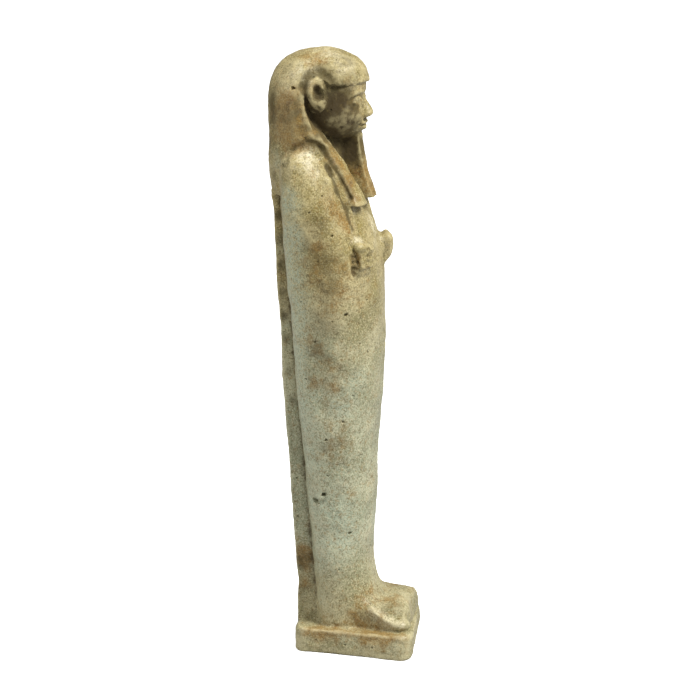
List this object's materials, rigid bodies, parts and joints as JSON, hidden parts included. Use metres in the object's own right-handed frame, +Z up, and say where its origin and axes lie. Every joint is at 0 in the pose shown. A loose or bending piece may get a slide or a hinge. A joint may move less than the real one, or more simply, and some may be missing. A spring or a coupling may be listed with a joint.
{
  "type": "ushabti figurine",
  "caption": "Standing shrouded funerary figurine of pale green faience, with a long wig, a false beard, hands that hold hoes, a back pillar and a low plinth.",
  "frame": {"origin": "centre of the plinth's flat underside", "axes": "+Z up from the underside to the crown of the wig, -Y the way the figure faces, +X the figure's own left"},
  "size_m": [0.0299, 0.0299, 0.12],
  "materials": {
    "faience": "worn satin"
  },
  "bodies": {
    "root": {"ushabti_figurine": "faience"}
  },
  "joints": []
}
